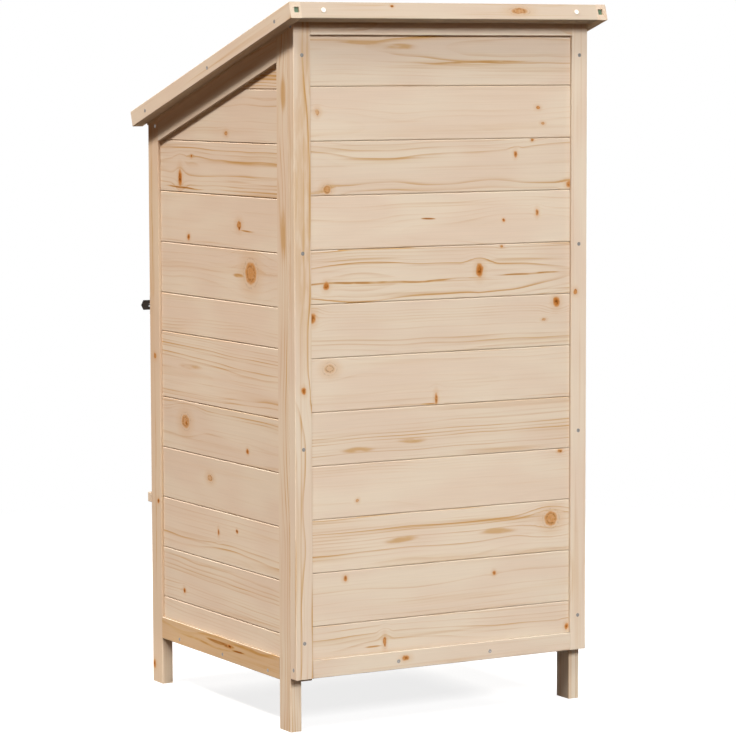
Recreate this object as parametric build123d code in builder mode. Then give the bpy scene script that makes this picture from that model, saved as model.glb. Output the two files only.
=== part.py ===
from build123d import *
import os
from math import cos, radians, sin, tan

# Garden shed with a lean-to roof, framed and boarded walls and a door in its low front.
# Millimetres and degrees. +Z is up, the door faces -Y, and the origin is on the ground
# under the middle of the roof.

# Overall sizes
frame_width = 560.0  # over the outer faces of the side frames
side_depth = 512.0  # front face of the front legs to rear face of the rear legs
roof_top = 1180.0  # ground to the high edge of the roof
roof_slope = 17.0  # fall towards the door
roof_length = 610.0  # along the slope
back_overhang = 23.0  # rear face of the back panel to the high edge of the roof

# Frame timber
stock = 20.0  # thickness of every frame bar
leg_width = 38.0
side_rail = 38.0
side_rail_low = 81.0  # ground to the underside of the side bottom rails
back_stile = 31.0
back_rail = 30.0
back_head = 27.0  # height of the back panel's top rail
back_low = 89.0
door_bar = 38.0
door_low = 84.0
door_lap = 20.0  # door over the front top rail behind it
sill = 38.0  # height of the front bottom rail
head_drop = 29.0  # underside of the front top rail below the tops of the front legs
ease = 0.8  # planed-off long edges

# Boards
board = 10.0
board_cover = 87.3  # height of board between two seams
side_cover = 88.0
wide_cover = 115.0  # one wide and one narrow course in each side wall
narrow_cover = 67.0
wide_course = 5
narrow_course = 6
back_first_seam = 172.8
side_first_seam = 155.6
door_first_seam = 165.0
least_course = 20.0  # a thinner strip at the top is left on the board below
vee = 1.3  # chamfer along both outer edges of a board
seam_gap = 0.4
tongue_thick = 3.4
tongue_length = 5.0
groove_depth = 8.0

# Floor
bearer = 20.0
bearer_low = 82.0

# Roof
fascia_height = 27.0
fascia_thick = 20.0
rim = 1.0  # fascias stand this far above the felt
felt_thick = 2.0
deck = 8.0
rafter_height = 19.0
rafter_inset = 17.0  # rafter end behind the low edge of the roof
plug_width = 9.0
plug_height = 9.5
plug_hole_depth = 10.0
plug_length = 7.0
plug_from_wall = 8.0  # plug centre outside the side frame's face
plug_drop = 13.0  # plug centre below the roof's top

# Door furniture
door_gap = 3.0
hinge_length = 50.0
hinge_radius = 3.2
leaf_width = 16.0
leaf_thick = 1.8
pin_radius = 1.5
hinge_from_end = 148.0  # hinge's middle to the nearer end of the door
hinge_screw_reach = 17.0  # hinge screws above and below the hinge's middle
hasp_height = 665.0
hasp_width = 17.0
hasp_radius = 3.1
hasp_thick = 2.0
hasp_from_edge = 14.0  # hasp pivot to the door's free edge
plate_width = 17.0  # hasp plate on the door
plate_height = 36.0
strap_length = 52.0  # pivot to tip
strap_point = 4.2
knuckle_gap = 0.3
leaf_gap = 0.4  # between a leaf and the other leaf's knuckle
staple_width = 18.0
staple_height = 36.0
plate_screw_reach = 13.0  # hasp screws above and below the hasp's middle
eye_width = 12.0
eye_reach = 21.0  # staple plate to the tip of its eye
eye_radius = 3.5
eye_thick = 4.0
slot_play = 1.0  # strap slot round the eye
slot_lead = 5.0  # extra slot at the strap's tip side, for its swing
turn_height = 326.0
turn_width = 17.0
turn_reach = 16.5  # pivot to the end that holds the door
turn_tail = 6.0  # pivot to the other end
turn_from_edge = 4.5  # pivot to the leg's edge beside the door
turn_thick = 12.0
turn_screw_radius = 2.0
turn_head_radius = 4.0
turn_head = 2.2
turn_screw_hold = 15.0  # length of the pivot screw in the leg

# Screws and caps, with few sides because there are many of them
head_sides = 10
shank_sides = 6
screw_radius = 1.75
head_radius = 3.3
head_thick = 1.2
screw_hold = 14.0  # length of a screw in the second piece
stile_screw_inset = 59.0  # outer screws from the ends of a back stile
stile_screw_count = 4
rail_screw_low = 8.5  # above the underside of the side bottom rail
rail_screw_pitch = 163.5
rail_screw_y = 2.0  # middle screw of a side bottom rail
fascia_screw_inset = 56.0  # outer screws from the ends of a side fascia
fascia_screw_drop = 15.0
head_screw_rise = 27.0  # leg-top screw above the front top rail's underside
head_screw_inset = 7.0  # leg-top screw behind the front face of that rail
cap_radius = 4.0
cap_proud = 1.0
cap_stem_radius = 2.0
cap_stem = 9.0
cap_x = 240.0

# Clearances
fit = 0.25  # board in its groove, tongue in its groove, plug in its hole
end_gap = 0.5  # board ends in a groove
seat = 0.3  # neighbouring pieces that don't press on each other
pin_fit = 0.05
swing_gap = 0.4  # turn button off the leg

# Worked-out places
slope = radians(roof_slope)
half = frame_width / 2
high_y = (roof_length * cos(slope) - fascia_height * sin(slope)) / 2
back_face = high_y - back_overhang
rear_face = back_face - stock
front_face = rear_face - side_depth
leg_x = half - stock / 2
front_leg_y = front_face + leg_width / 2
rear_leg_y = rear_face - leg_width / 2
bay_front = front_face + leg_width
bay_rear = rear_face - leg_width
inner_x = half - stock
rail_front = front_face + stock + seat  # front faces of the rails behind the door
rail_rear = rail_front + stock
side_rail_top = side_rail_low + side_rail
back_mid_y = back_face - stock / 2
door_mid_y = front_face + stock / 2
door_half = inner_x - door_gap
groove_width = board + 2 * fit
floor_low = bearer_low + bearer

# Roof plane: x across, y up the slope from the high edge, z out of the roof
roof = Plane(origin=(0, high_y, roof_top), x_dir=(1, 0, 0), z_dir=(0, -sin(slope), cos(slope)))
deck_drop = rim + felt_thick
rafter_drop = deck_drop + deck
wall_drop = rafter_drop + rafter_height

# Heights that follow the roof


def roof_line(y, drop):
    """Height of the plane that lies the given drop below the roof's top."""
    return roof_top + (y - high_y) * tan(slope) - drop / cos(slope)


back_high = roof_line(rear_face, rafter_drop) - seat
head_low = roof_line(front_face, wall_drop) - head_drop
door_high = head_low + door_lap

# Pivots
hinge_heights = (door_low + hinge_from_end, door_high - hinge_from_end)
hinge_x = -inner_x + door_gap / 2
hinge_y = front_face - hinge_radius
hasp_x = door_half - hasp_from_edge
hasp_y = front_face - hasp_radius
eye_y = front_face - leaf_thick - eye_reach + eye_width / 2
turn_x = inner_x + turn_from_edge
turn_face = front_face - swing_gap - turn_thick  # front face of the turn button


def on_roof(x, y, z):
    """A point given across, up the slope and out of the roof."""
    return roof.from_local_coords((x, y, z))


def keep(piece, name):
    """Label a finished piece and write it."""
    piece.label = name
    export_step(piece, f"parts/{name}.step")


def keep_pair(piece, name):
    """Write a piece of the +X side and its mirror image on the other side."""
    keep(piece, f"{name}_right")
    keep(mirror(piece, about=Plane.YZ), f"{name}_left")


# Operations shared by the pieces, used inside a piece's own block


def run_bar(end, width, height, length):
    """A planed bar: its section on the end plane, run along the plane's normal."""
    with BuildSketch(end) as section:
        Rectangle(width, height)
        chamfer(section.vertices(), ease)
    extrude(section.sketch, amount=length)


def cut_groove(start, length):
    """A board groove: the plane's origin is on the bar's edge and its y axis points into the bar."""
    with BuildSketch(start) as section:
        Rectangle(groove_width, groove_depth, align=(Align.CENTER, Align.MIN))
    extrude(section.sketch, amount=length, mode=Mode.SUBTRACT)


def run_prisms(planes, radius, sides, length, mode=Mode.ADD):
    """One regular prism on each plane, along the plane's normal."""
    with BuildSketch(*planes) as section:
        RegularPolygon(radius, sides)
    extrude(section.sketch, amount=length, mode=mode)


def drill(planes, depth, head=True):
    """Screw holes into the given faces, with a seat for the head in the outer piece."""
    run_prisms(planes, screw_radius + pin_fit, shank_sides, -depth, Mode.SUBTRACT)
    if head:
        run_prisms(planes, head_radius + pin_fit, head_sides, -head_thick, Mode.SUBTRACT)


def bore(plane, radius, depth):
    """One plain round hole into a face."""
    with Locations(plane):
        Hole(radius, depth)


def course_section(low, high, thick):
    """Section of a tongued and grooved board between two seams: x points outwards, y to the next seam."""
    face = thick / 2
    bottom = low + seam_gap / 2
    top = high - seam_gap / 2
    tongue = tongue_thick / 2
    mouth = tongue + fit
    Polygon(
        (face, bottom + vee),
        (face, top - vee),
        (face - vee, top),
        (tongue, top),
        (tongue, top + tongue_length),
        (-tongue, top + tongue_length),
        (-tongue, top),
        (-face, top),
        (-face, bottom),
        (-mouth, bottom),
        (-mouth, bottom + tongue_length),
        (mouth, bottom + tongue_length),
        (mouth, bottom),
        (face - vee, bottom),
        align=None,
    )


def seams(first, top, cover, odd_covers={}):
    """Seam places from one cover below the first seam to the top of the bay or past it."""
    places = [first - cover, first]
    while places[-1] < top:
        places.append(places[-1] + odd_covers.get(len(places) - 1, cover))
    if top - places[-2] < least_course:
        del places[-2]
    return places


def board_panel(face, middle, places, thick, bay):
    """Boards along the face's x axis, their middles at the given depth, trimmed to the bay's outline."""
    left = min(x for x, y in bay)
    right = max(x for x, y in bay)
    end = Plane(face.from_local_coords((right, 0, middle)), x_dir=face.z_dir, z_dir=-face.x_dir)
    with BuildPart() as panel:
        for low, high in zip(places, places[1:]):
            with BuildSketch(end):
                course_section(low, high, thick)
            extrude(amount=right - left)
        with BuildSketch(face):
            Polygon(*bay, align=None)
        extrude(amount=2 * middle, mode=Mode.INTERSECT)
    return panel.part


def screws(planes, length):
    """Flat-headed screws, one into each plane, heads flush with it."""
    with BuildPart() as group:
        run_prisms(planes, head_radius, head_sides, -head_thick)
        run_prisms(planes, screw_radius, shank_sides, -length)
    return group.part


# Screw places: the origin of each plane is the middle of the head, its normal points out

stile_screws = []
edge_screws = []
rail_screws = []
head_screws = []
fascia_screws = []
stile_screw_pitch = (back_high - back_low - 2 * stile_screw_inset) / (stile_screw_count - 1)
for side in (1, -1):
    outwards = (side, 0, 0)
    stile_x = side * (half - back_stile / 2)
    for step in range(stile_screw_count):
        place = (stile_x, back_face, back_low + stile_screw_inset + step * stile_screw_pitch)
        stile_screws.append(Plane(place, z_dir=(0, 1, 0)))
    for z in (back_low + back_rail / 2, back_high - back_head / 2):
        edge_screws.append(Plane((side * half, back_mid_y, z), z_dir=outwards))
    for step in (-1, 0, 1):
        place = (side * half, rail_screw_y + step * rail_screw_pitch, side_rail_low + rail_screw_low)
        rail_screws.append(Plane(place, z_dir=outwards))
    head_screw_y = rail_front + head_screw_inset
    head_screws.append(Plane((side * half, head_screw_y, head_low + head_screw_rise), z_dir=outwards))
    for y in (-fascia_screw_inset, -roof_length / 2, fascia_screw_inset - roof_length):
        place = on_roof(side * (half + fascia_thick), y, -fascia_screw_drop)
        fascia_screws.append(Plane(place, z_dir=outwards))

leaf_front = front_face - leaf_thick
leg_leaf_x = hinge_x - hinge_radius - leaf_gap - leaf_width / 2
door_leaf_x = hinge_x + hinge_radius + leaf_gap + leaf_width / 2
leg_hinge_screws = []
door_hinge_screws = []
for height in hinge_heights:
    for reach in (-hinge_screw_reach, hinge_screw_reach):
        leg_hinge_screws.append(Plane((leg_leaf_x, leaf_front, height + reach), z_dir=(0, -1, 0)))
        door_hinge_screws.append(Plane((door_leaf_x, leaf_front, height + reach), z_dir=(0, -1, 0)))

hasp_plate_x = hasp_x - hasp_radius - leaf_gap - plate_width / 2
hasp_screws = []
staple_screws = []
for reach in (-plate_screw_reach, plate_screw_reach):
    hasp_screws.append(Plane((hasp_plate_x, leaf_front, hasp_height + reach), z_dir=(0, -1, 0)))
    staple_screws.append(Plane((leg_x, leaf_front, hasp_height + reach), z_dir=(0, -1, 0)))
turn_screw_plane = Plane((turn_x, turn_face, turn_height), z_dir=(0, -1, 0))

stile_screw_length = stock + screw_hold
edge_screw_length = back_stile + screw_hold
hardware_screw_length = leaf_thick + screw_hold
fascia_screw_length = fascia_thick + screw_hold
turn_screw_length = turn_thick + swing_gap + turn_screw_hold

os.makedirs("parts", exist_ok=True)

# Side frames


def leg(side, y, grooved, front_holes):
    """A leg cut to the roof's slope, grooved on the face towards its partner (+1 rear face, -1 front face)."""
    x = side * leg_x
    edge = y + grooved * leg_width / 2
    with BuildPart() as post:
        run_bar(Plane((x, y, 0)), stock, leg_width, roof_top)
        cut_groove(
            Plane((x, edge, side_rail_top - groove_depth), x_dir=(-grooved, 0, 0), z_dir=(0, 0, 1)), roof_top
        )
        split(bisect_by=roof.offset(-wall_drop), keep=Keep.BOTTOM)
        drill(stile_screws, stile_screw_length, head=False)
        drill(head_screws, stile_screw_length)
        if front_holes:
            drill(front_holes, hardware_screw_length, head=False)
        if front_holes is staple_screws:
            bore(turn_screw_plane, turn_screw_radius + pin_fit, turn_screw_length + seat)
    return post.part


keep(leg(1, front_leg_y, 1, staple_screws), "leg_front_right")
keep(leg(-1, front_leg_y, 1, leg_hinge_screws), "leg_front_left")
keep(leg(1, rear_leg_y, -1, None), "leg_rear_right")
keep(leg(-1, rear_leg_y, -1, None), "leg_rear_left")

with BuildPart() as side_bottom_rail:
    rail_end = Plane((leg_x, bay_front, side_rail_low + side_rail / 2), x_dir=(1, 0, 0), z_dir=(0, 1, 0))
    run_bar(rail_end, stock, side_rail, bay_rear - bay_front)
    cut_groove(
        Plane((leg_x, bay_front, side_rail_top), x_dir=(1, 0, 0), z_dir=(0, 1, 0)), bay_rear - bay_front
    )
    drill(rail_screws, stile_screw_length)
keep_pair(side_bottom_rail.part, "side_bottom_rail")

with BuildPart() as side_top_rail:
    rail_end = Plane(
        on_roof(leg_x, -roof_length, -wall_drop - side_rail / 2), x_dir=(1, 0, 0), z_dir=roof.y_dir
    )
    run_bar(rail_end, stock, side_rail, roof_length)
    lower_edge = on_roof(leg_x, -roof_length, -wall_drop - side_rail)
    cut_groove(Plane(lower_edge, x_dir=(-1, 0, 0), z_dir=roof.y_dir), roof_length)
    split(bisect_by=Plane((0, bay_front, 0), z_dir=(0, 1, 0)), keep=Keep.TOP)
    split(bisect_by=Plane((0, bay_rear, 0), z_dir=(0, 1, 0)), keep=Keep.BOTTOM)
keep_pair(side_top_rail.part, "side_top_rail")

board_front = bay_front - groove_depth + end_gap
board_rear = bay_rear + groove_depth - end_gap
board_drop = wall_drop + side_rail - groove_depth + end_gap
board_low = side_rail_top - groove_depth + seat
side_bay = [
    (board_front, board_low),
    (board_rear, board_low),
    (board_rear, roof_line(board_rear, board_drop)),
    (board_front, roof_line(board_front, board_drop)),
]
side_seams = seams(
    side_first_seam,
    roof_line(board_rear, board_drop),
    side_cover,
    {wide_course: wide_cover, narrow_course: narrow_cover},
)
side_face = Plane((half, 0, 0), x_dir=(0, 1, 0), z_dir=(1, 0, 0))
keep_pair(board_panel(side_face, -stock / 2, side_seams, board, side_bay), "side_boards")

# Framed panels: the back and the door share their joinery


def stile(x, side, y, width, low, high, groove_low, groove_high, holes):
    """An upright of a framed panel, grooved on its inner edge; holes are (planes, length, head) groups."""
    with BuildPart() as upright:
        run_bar(Plane((x, y, low)), width, stock, high - low)
        inner_edge = (x - side * width / 2, y, groove_low)
        cut_groove(Plane(inner_edge, x_dir=(0, -side, 0), z_dir=(0, 0, 1)), groove_high - groove_low)
        for planes, length, head in holes:
            drill(planes, length, head)
    return upright.part


def cross_rail(reach, y, low, high, groove_edge, holes=None):
    """A rail between x = -reach and reach, grooved on its top edge (+1), lower edge (-1) or not (0)."""
    with BuildPart() as rail:
        start = Plane((-reach, y, (low + high) / 2), x_dir=(0, 1, 0), z_dir=(1, 0, 0))
        run_bar(start, stock, high - low, 2 * reach)
        if groove_edge:
            edge = high if groove_edge > 0 else low
            cut_groove(Plane((-reach, y, edge), x_dir=(0, -groove_edge, 0), z_dir=(1, 0, 0)), 2 * reach)
        if holes:
            drill(holes, edge_screw_length, head=False)
    return rail.part


def bay_outline(reach, low, high):
    """Outline of the boards in a framed panel whose clear opening is given."""
    x = reach + groove_depth - end_gap
    bottom = low - groove_depth + seat
    top = high + groove_depth - end_gap
    return [(-x, bottom), (x, bottom), (x, top), (-x, top)]


back_inner = half - back_stile
back_bay_low = back_low + back_rail
back_bay_high = back_high - back_head
for side, name in ((1, "right"), (-1, "left")):
    upright = stile(
        side * (half - back_stile / 2),
        side,
        back_mid_y,
        back_stile,
        back_low,
        back_high,
        back_bay_low - groove_depth,
        back_bay_high + groove_depth,
        [(stile_screws, stile_screw_length, True), (edge_screws, edge_screw_length, True)],
    )
    keep(upright, f"back_stile_{name}")
keep(cross_rail(back_inner, back_mid_y, back_low, back_bay_low, 1, edge_screws), "back_bottom_rail")
keep(cross_rail(back_inner, back_mid_y, back_bay_high, back_high, -1, edge_screws), "back_top_rail")
back_bay = bay_outline(back_inner, back_bay_low, back_bay_high)
back_seams = seams(back_first_seam, back_bay_high + groove_depth, board_cover)
back_plane = Plane((0, back_face, 0), x_dir=(-1, 0, 0), z_dir=(0, 1, 0))
keep(board_panel(back_plane, -stock / 2, back_seams, board, back_bay), "back_boards")

# Front rails behind the door, and the floor

with BuildPart() as front_bottom_rail:
    rail_end = Plane(
        (-inner_x, rail_front + stock / 2, side_rail_low + sill / 2), x_dir=(0, 1, 0), z_dir=(1, 0, 0)
    )
    run_bar(rail_end, stock, sill, 2 * inner_x)
keep(front_bottom_rail.part, "front_bottom_rail")

with BuildPart() as front_top_rail:
    head_height = roof_top - head_low
    rail_end = Plane(
        (-inner_x, rail_front + stock / 2, head_low + head_height / 2), x_dir=(0, 1, 0), z_dir=(1, 0, 0)
    )
    run_bar(rail_end, stock, head_height, 2 * inner_x)
    split(bisect_by=roof.offset(-rafter_drop - seat), keep=Keep.BOTTOM)
    drill(head_screws, stile_screw_length, head=False)
keep(front_top_rail.part, "front_top_rail")

floor_front = rail_rear + seat
floor_rear = rear_face - seat
with BuildPart() as floor_bearer:
    bearer_end = Plane(
        (inner_x - bearer / 2, floor_front, bearer_low + bearer / 2), x_dir=(1, 0, 0), z_dir=(0, 1, 0)
    )
    run_bar(bearer_end, bearer, bearer, floor_rear - floor_front)
    drill(rail_screws, stile_screw_length, head=False)
keep_pair(floor_bearer.part, "floor_bearer")

floor_reach = inner_x - seat
floor_bay = [
    (-floor_reach, floor_front),
    (floor_reach, floor_front),
    (floor_reach, floor_rear),
    (-floor_reach, floor_rear),
]
floor_seams = seams(floor_front + board_cover, floor_rear, board_cover)
floor_plane = Plane((0, 0, floor_low + board))
keep(board_panel(floor_plane, -board / 2, floor_seams, board, floor_bay), "floor_boards")

# Roof tray

with BuildPart() as side_fascia:
    fascia_end = Plane(
        on_roof(half + fascia_thick / 2, -roof_length, -fascia_height / 2), x_dir=(1, 0, 0), z_dir=roof.y_dir
    )
    run_bar(fascia_end, fascia_thick, fascia_height, roof_length)
    plug_plane = Plane(on_roof(half + plug_from_wall, 0, -plug_drop), x_dir=(1, 0, 0), z_dir=roof.y_dir)
    with BuildSketch(plug_plane):
        Rectangle(plug_width, plug_height)
    extrude(amount=-plug_hole_depth, mode=Mode.SUBTRACT)
    drill(fascia_screws, fascia_screw_length)
keep_pair(side_fascia.part, "side_fascia")

with BuildPart() as end_plugs:
    with BuildSketch(plug_plane.offset(-plug_hole_depth)):
        Rectangle(plug_width - 2 * fit, plug_height - 2 * fit)
    extrude(amount=plug_length)
    mirror(about=Plane.YZ)
keep(end_plugs.part, "fascia_end_plugs")

cap_planes = [
    Plane(on_roof(side * cap_x, 0, -fascia_height / 2), x_dir=(1, 0, 0), z_dir=roof.y_dir) for side in (1, -1)
]
with BuildPart() as high_fascia:
    fascia_end = Plane(
        on_roof(-half, -fascia_thick / 2, -fascia_height / 2), x_dir=roof.y_dir, z_dir=(1, 0, 0)
    )
    run_bar(fascia_end, fascia_thick, fascia_height, 2 * half)
    run_prisms(cap_planes, cap_stem_radius + pin_fit, shank_sides, -cap_stem - seat, Mode.SUBTRACT)
keep(high_fascia.part, "high_fascia")

with BuildPart() as fascia_caps:
    run_prisms(cap_planes, cap_radius, head_sides, cap_proud)
    run_prisms(cap_planes, cap_stem_radius, shank_sides, -cap_stem)
keep(fascia_caps.part, "fascia_caps")

with BuildPart() as rafter:
    rafter_end = Plane(
        on_roof(leg_x, rafter_inset - roof_length, -rafter_drop - rafter_height / 2),
        x_dir=(1, 0, 0),
        z_dir=roof.y_dir,
    )
    run_bar(rafter_end, stock, rafter_height, roof_length)
    split(bisect_by=Plane((0, rear_face - seat, 0), z_dir=(0, 1, 0)), keep=Keep.BOTTOM)
    drill(fascia_screws, fascia_screw_length, head=False)
keep_pair(rafter.part, "rafter")

deck_reach = half - seat
deck_low = felt_thick + seat - roof_length  # behind the felt that is turned down at the eaves
deck_high = -fascia_thick - seat
deck_bay = [(-deck_reach, deck_low), (deck_reach, deck_low), (deck_reach, deck_high), (-deck_reach, deck_high)]
deck_seams = seams(deck_low + board_cover, deck_high, board_cover)
keep(board_panel(roof.offset(-deck_drop), -deck / 2, deck_seams, deck, deck_bay), "roof_boards")

with BuildPart() as roof_felt:
    felt_end = Plane(on_roof(-deck_reach, 0, 0), x_dir=roof.y_dir, z_dir=(1, 0, 0))
    with BuildSketch(felt_end):
        Polygon(
            (-roof_length, -rim),
            (deck_high, -rim),
            (deck_high, -deck_drop),
            (felt_thick - roof_length, -deck_drop),
            (felt_thick - roof_length, -rafter_drop),
            (-roof_length, -rafter_drop),
            align=None,
        )
    extrude(amount=2 * deck_reach)
keep(roof_felt.part, "roof_felt")

# Door

door_inner = door_half - door_bar
door_bay_low = door_low + door_bar
door_bay_high = door_high - door_bar
for side, name, holes in ((-1, "hinge", door_hinge_screws), (1, "latch", hasp_screws)):
    upright = stile(
        side * (door_half - door_bar / 2),
        side,
        door_mid_y,
        door_bar,
        door_low,
        door_high,
        door_bay_low - groove_depth,
        door_bay_high + groove_depth,
        [(holes, hardware_screw_length, False)],
    )
    keep(upright, f"door_stile_{name}")
keep(cross_rail(door_inner, door_mid_y, door_low, door_bay_low, 1), "door_bottom_rail")
keep(cross_rail(door_inner, door_mid_y, door_bay_high, door_high, -1), "door_top_rail")
door_bay = bay_outline(door_inner, door_bay_low, door_bay_high)
door_seams = seams(door_first_seam, door_bay_high + groove_depth, board_cover)
door_plane = Plane((0, front_face, 0), x_dir=(1, 0, 0), z_dir=(0, -1, 0))
keep(board_panel(door_plane, -stock / 2, door_seams, board, door_bay), "door_boards")

# Hinges

third = hinge_length / 3
outer_knuckles = ((0, third), (hinge_length - third, hinge_length))
middle_knuckle = ((third + knuckle_gap, hinge_length - third - knuckle_gap),)


def hinge_leaf(side, low, knuckles, holes):
    """A leaf beside the pin, towards the leg (-1) or the door (+1), with its knuckles round the pin."""
    reach = hinge_radius + leaf_gap
    with BuildPart() as leaf:
        with BuildSketch(Plane((hinge_x, front_face, low))):
            with Locations((side * (reach + leaf_width / 2), -leaf_thick / 2)):
                Rectangle(leaf_width, leaf_thick)
        extrude(amount=hinge_length)
        for start, stop in knuckles:
            with BuildSketch(Plane((hinge_x, front_face, low + start))):
                with Locations((0, -hinge_radius)):
                    Circle(hinge_radius)
                with Locations((side * reach / 2, -leaf_thick / 2)):
                    Rectangle(reach, leaf_thick)
            extrude(amount=stop - start)
        bore(Plane((hinge_x, hinge_y, low + hinge_length)), pin_radius + pin_fit, hinge_length)
        drill(holes, hardware_screw_length)
    return leaf.part


for height, name in zip(hinge_heights, ("lower", "upper")):
    low = height - hinge_length / 2
    keep(hinge_leaf(-1, low, outer_knuckles, leg_hinge_screws), f"hinge_leg_leaf_{name}")
    keep(hinge_leaf(1, low, middle_knuckle, door_hinge_screws), f"hinge_door_leaf_{name}")
    with BuildPart() as hinge_pin:
        with Locations((hinge_x, hinge_y, low)):
            Cylinder(pin_radius, hinge_length, align=(Align.CENTER, Align.CENTER, Align.MIN))
    keep(hinge_pin.part, f"hinge_pin_{name}")

# Hasp: plate and pin on the door, strap over the staple on the leg

hasp_low = hasp_height - hasp_width / 2
hasp_third = hasp_width / 3
hasp_reach = hasp_radius + leaf_gap


def base_plate(x, width, height):
    """A plate with cut corners, flat on the front faces of the door and legs."""
    with BuildSketch(Plane((x, front_face, hasp_height), x_dir=(1, 0, 0), z_dir=(0, -1, 0))) as outline:
        Rectangle(width, height)
        chamfer(outline.vertices(), leaf_thick)
    extrude(outline.sketch, amount=leaf_thick)


with BuildPart() as hasp_plate:
    base_plate(hasp_plate_x, plate_width, plate_height)
    for start in (0, hasp_width - hasp_third):
        with BuildSketch(Plane((hasp_x, front_face, hasp_low + start))):
            with Locations((0, -hasp_radius)):
                Circle(hasp_radius)
            with Locations((-hasp_reach / 2, -leaf_thick / 2)):
                Rectangle(hasp_reach, leaf_thick)
        extrude(amount=hasp_third)
    bore(Plane((hasp_x, hasp_y, hasp_low + hasp_width)), pin_radius + pin_fit, hasp_width)
    drill(hasp_screws, hardware_screw_length)
keep(hasp_plate.part, "hasp_plate")

with BuildPart() as hasp_pin:
    with Locations((hasp_x, hasp_y, hasp_low)):
        Cylinder(pin_radius, hasp_width, align=(Align.CENTER, Align.CENTER, Align.MIN))
keep(hasp_pin.part, "hasp_pin")

slot_inner = leg_x - eye_width / 2 - slot_play - hasp_x
slot_outer = leg_x + eye_width / 2 + slot_lead - hasp_x
knuckle_low = hasp_low + hasp_third + knuckle_gap
knuckle_height = hasp_third - 2 * knuckle_gap
with BuildPart() as hasp_strap:
    strap_plane = Plane((hasp_x, hasp_y + hasp_thick / 2, hasp_height), x_dir=(1, 0, 0), z_dir=(0, -1, 0))
    with BuildSketch(strap_plane):
        Polygon(
            (hasp_reach, -hasp_width / 2),
            (strap_length - strap_point, -hasp_width / 2),
            (strap_length, 0),
            (strap_length - strap_point, hasp_width / 2),
            (hasp_reach, hasp_width / 2),
            align=None,
        )
        with Locations((hasp_reach / 2, 0)):
            Rectangle(hasp_reach, knuckle_height)
        with Locations(((slot_inner + slot_outer) / 2, 0)):
            Rectangle(slot_outer - slot_inner, eye_thick + 2 * slot_play, mode=Mode.SUBTRACT)
    extrude(amount=hasp_thick)
    with BuildSketch(Plane((hasp_x, hasp_y, knuckle_low))):
        Circle(hasp_radius)
    extrude(amount=knuckle_height)
    bore(Plane((hasp_x, hasp_y, knuckle_low + knuckle_height)), pin_radius + pin_fit, knuckle_height)
keep(hasp_strap.part, "hasp_strap")

with BuildPart() as hasp_staple:
    base_plate(leg_x, staple_width, staple_height)
    with BuildSketch(Plane((leg_x, 0, hasp_height - eye_thick / 2))):
        with Locations((0, (leaf_front + eye_y) / 2)):
            Rectangle(eye_width, leaf_front - eye_y)
        with Locations((0, eye_y)):
            Circle(eye_width / 2)
            Circle(eye_radius, mode=Mode.SUBTRACT)
    extrude(amount=eye_thick)
    drill(staple_screws, hardware_screw_length)
keep(hasp_staple.part, "hasp_staple")

# Wooden turn button, turned away from the door

with BuildPart() as turn_button:
    turn_plane = Plane((turn_x, front_face - swing_gap, turn_height), x_dir=(1, 0, 0), z_dir=(0, -1, 0))
    with BuildSketch(turn_plane) as outline:
        with Locations(((turn_reach - turn_tail) / 2, 0)):
            Rectangle(turn_reach + turn_tail, turn_width)
        chamfer(outline.vertices(), ease)
    extrude(amount=turn_thick)
    with Locations(turn_screw_plane):
        CounterBoreHole(turn_screw_radius + pin_fit, turn_head_radius + seat, turn_head + seat)
keep(turn_button.part, "turn_button")

with BuildPart() as turn_button_screw:
    with Locations(turn_screw_plane):
        Cylinder(turn_head_radius, turn_head, align=(Align.CENTER, Align.CENTER, Align.MAX))
        Cylinder(turn_screw_radius, turn_screw_length, align=(Align.CENTER, Align.CENTER, Align.MAX))
keep(turn_button_screw.part, "turn_button_screw")

# Screws

keep(screws(stile_screws, stile_screw_length - seat), "back_panel_screws")
keep(screws(edge_screws, edge_screw_length - seat), "stile_edge_screws")
keep(screws(rail_screws, stile_screw_length - seat), "side_rail_screws")
keep(screws(head_screws, stile_screw_length - seat), "leg_top_screws")
keep(screws(fascia_screws, fascia_screw_length - seat), "fascia_screws")
keep(screws(leg_hinge_screws, hardware_screw_length - seat), "hinge_leg_screws")
keep(screws(door_hinge_screws, hardware_screw_length - seat), "hinge_door_screws")
keep(screws(hasp_screws, hardware_screw_length - seat), "hasp_screws")
keep(screws(staple_screws, hardware_screw_length - seat), "staple_screws")
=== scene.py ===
import math

import bpy
from mathutils import Matrix, Vector


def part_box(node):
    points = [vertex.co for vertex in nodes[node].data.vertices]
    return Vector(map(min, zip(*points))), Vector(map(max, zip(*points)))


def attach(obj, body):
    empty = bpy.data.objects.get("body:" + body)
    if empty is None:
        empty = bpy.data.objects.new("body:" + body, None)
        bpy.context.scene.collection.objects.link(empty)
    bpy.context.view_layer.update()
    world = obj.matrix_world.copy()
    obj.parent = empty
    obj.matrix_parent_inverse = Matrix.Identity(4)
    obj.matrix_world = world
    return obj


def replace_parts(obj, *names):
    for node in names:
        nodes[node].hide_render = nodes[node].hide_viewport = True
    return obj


# Looks for the garden shed: planed pine, roofing felt, black steel, zinc screws, floor, light and camera.
# Metres and degrees, except where a name says otherwise.

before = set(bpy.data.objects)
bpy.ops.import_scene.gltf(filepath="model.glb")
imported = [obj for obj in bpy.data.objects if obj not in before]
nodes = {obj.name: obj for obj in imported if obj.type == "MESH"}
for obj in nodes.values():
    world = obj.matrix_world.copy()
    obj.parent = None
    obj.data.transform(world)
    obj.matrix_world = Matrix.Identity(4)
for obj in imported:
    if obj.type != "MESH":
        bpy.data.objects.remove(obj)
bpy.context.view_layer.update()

MM = 0.001

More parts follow.
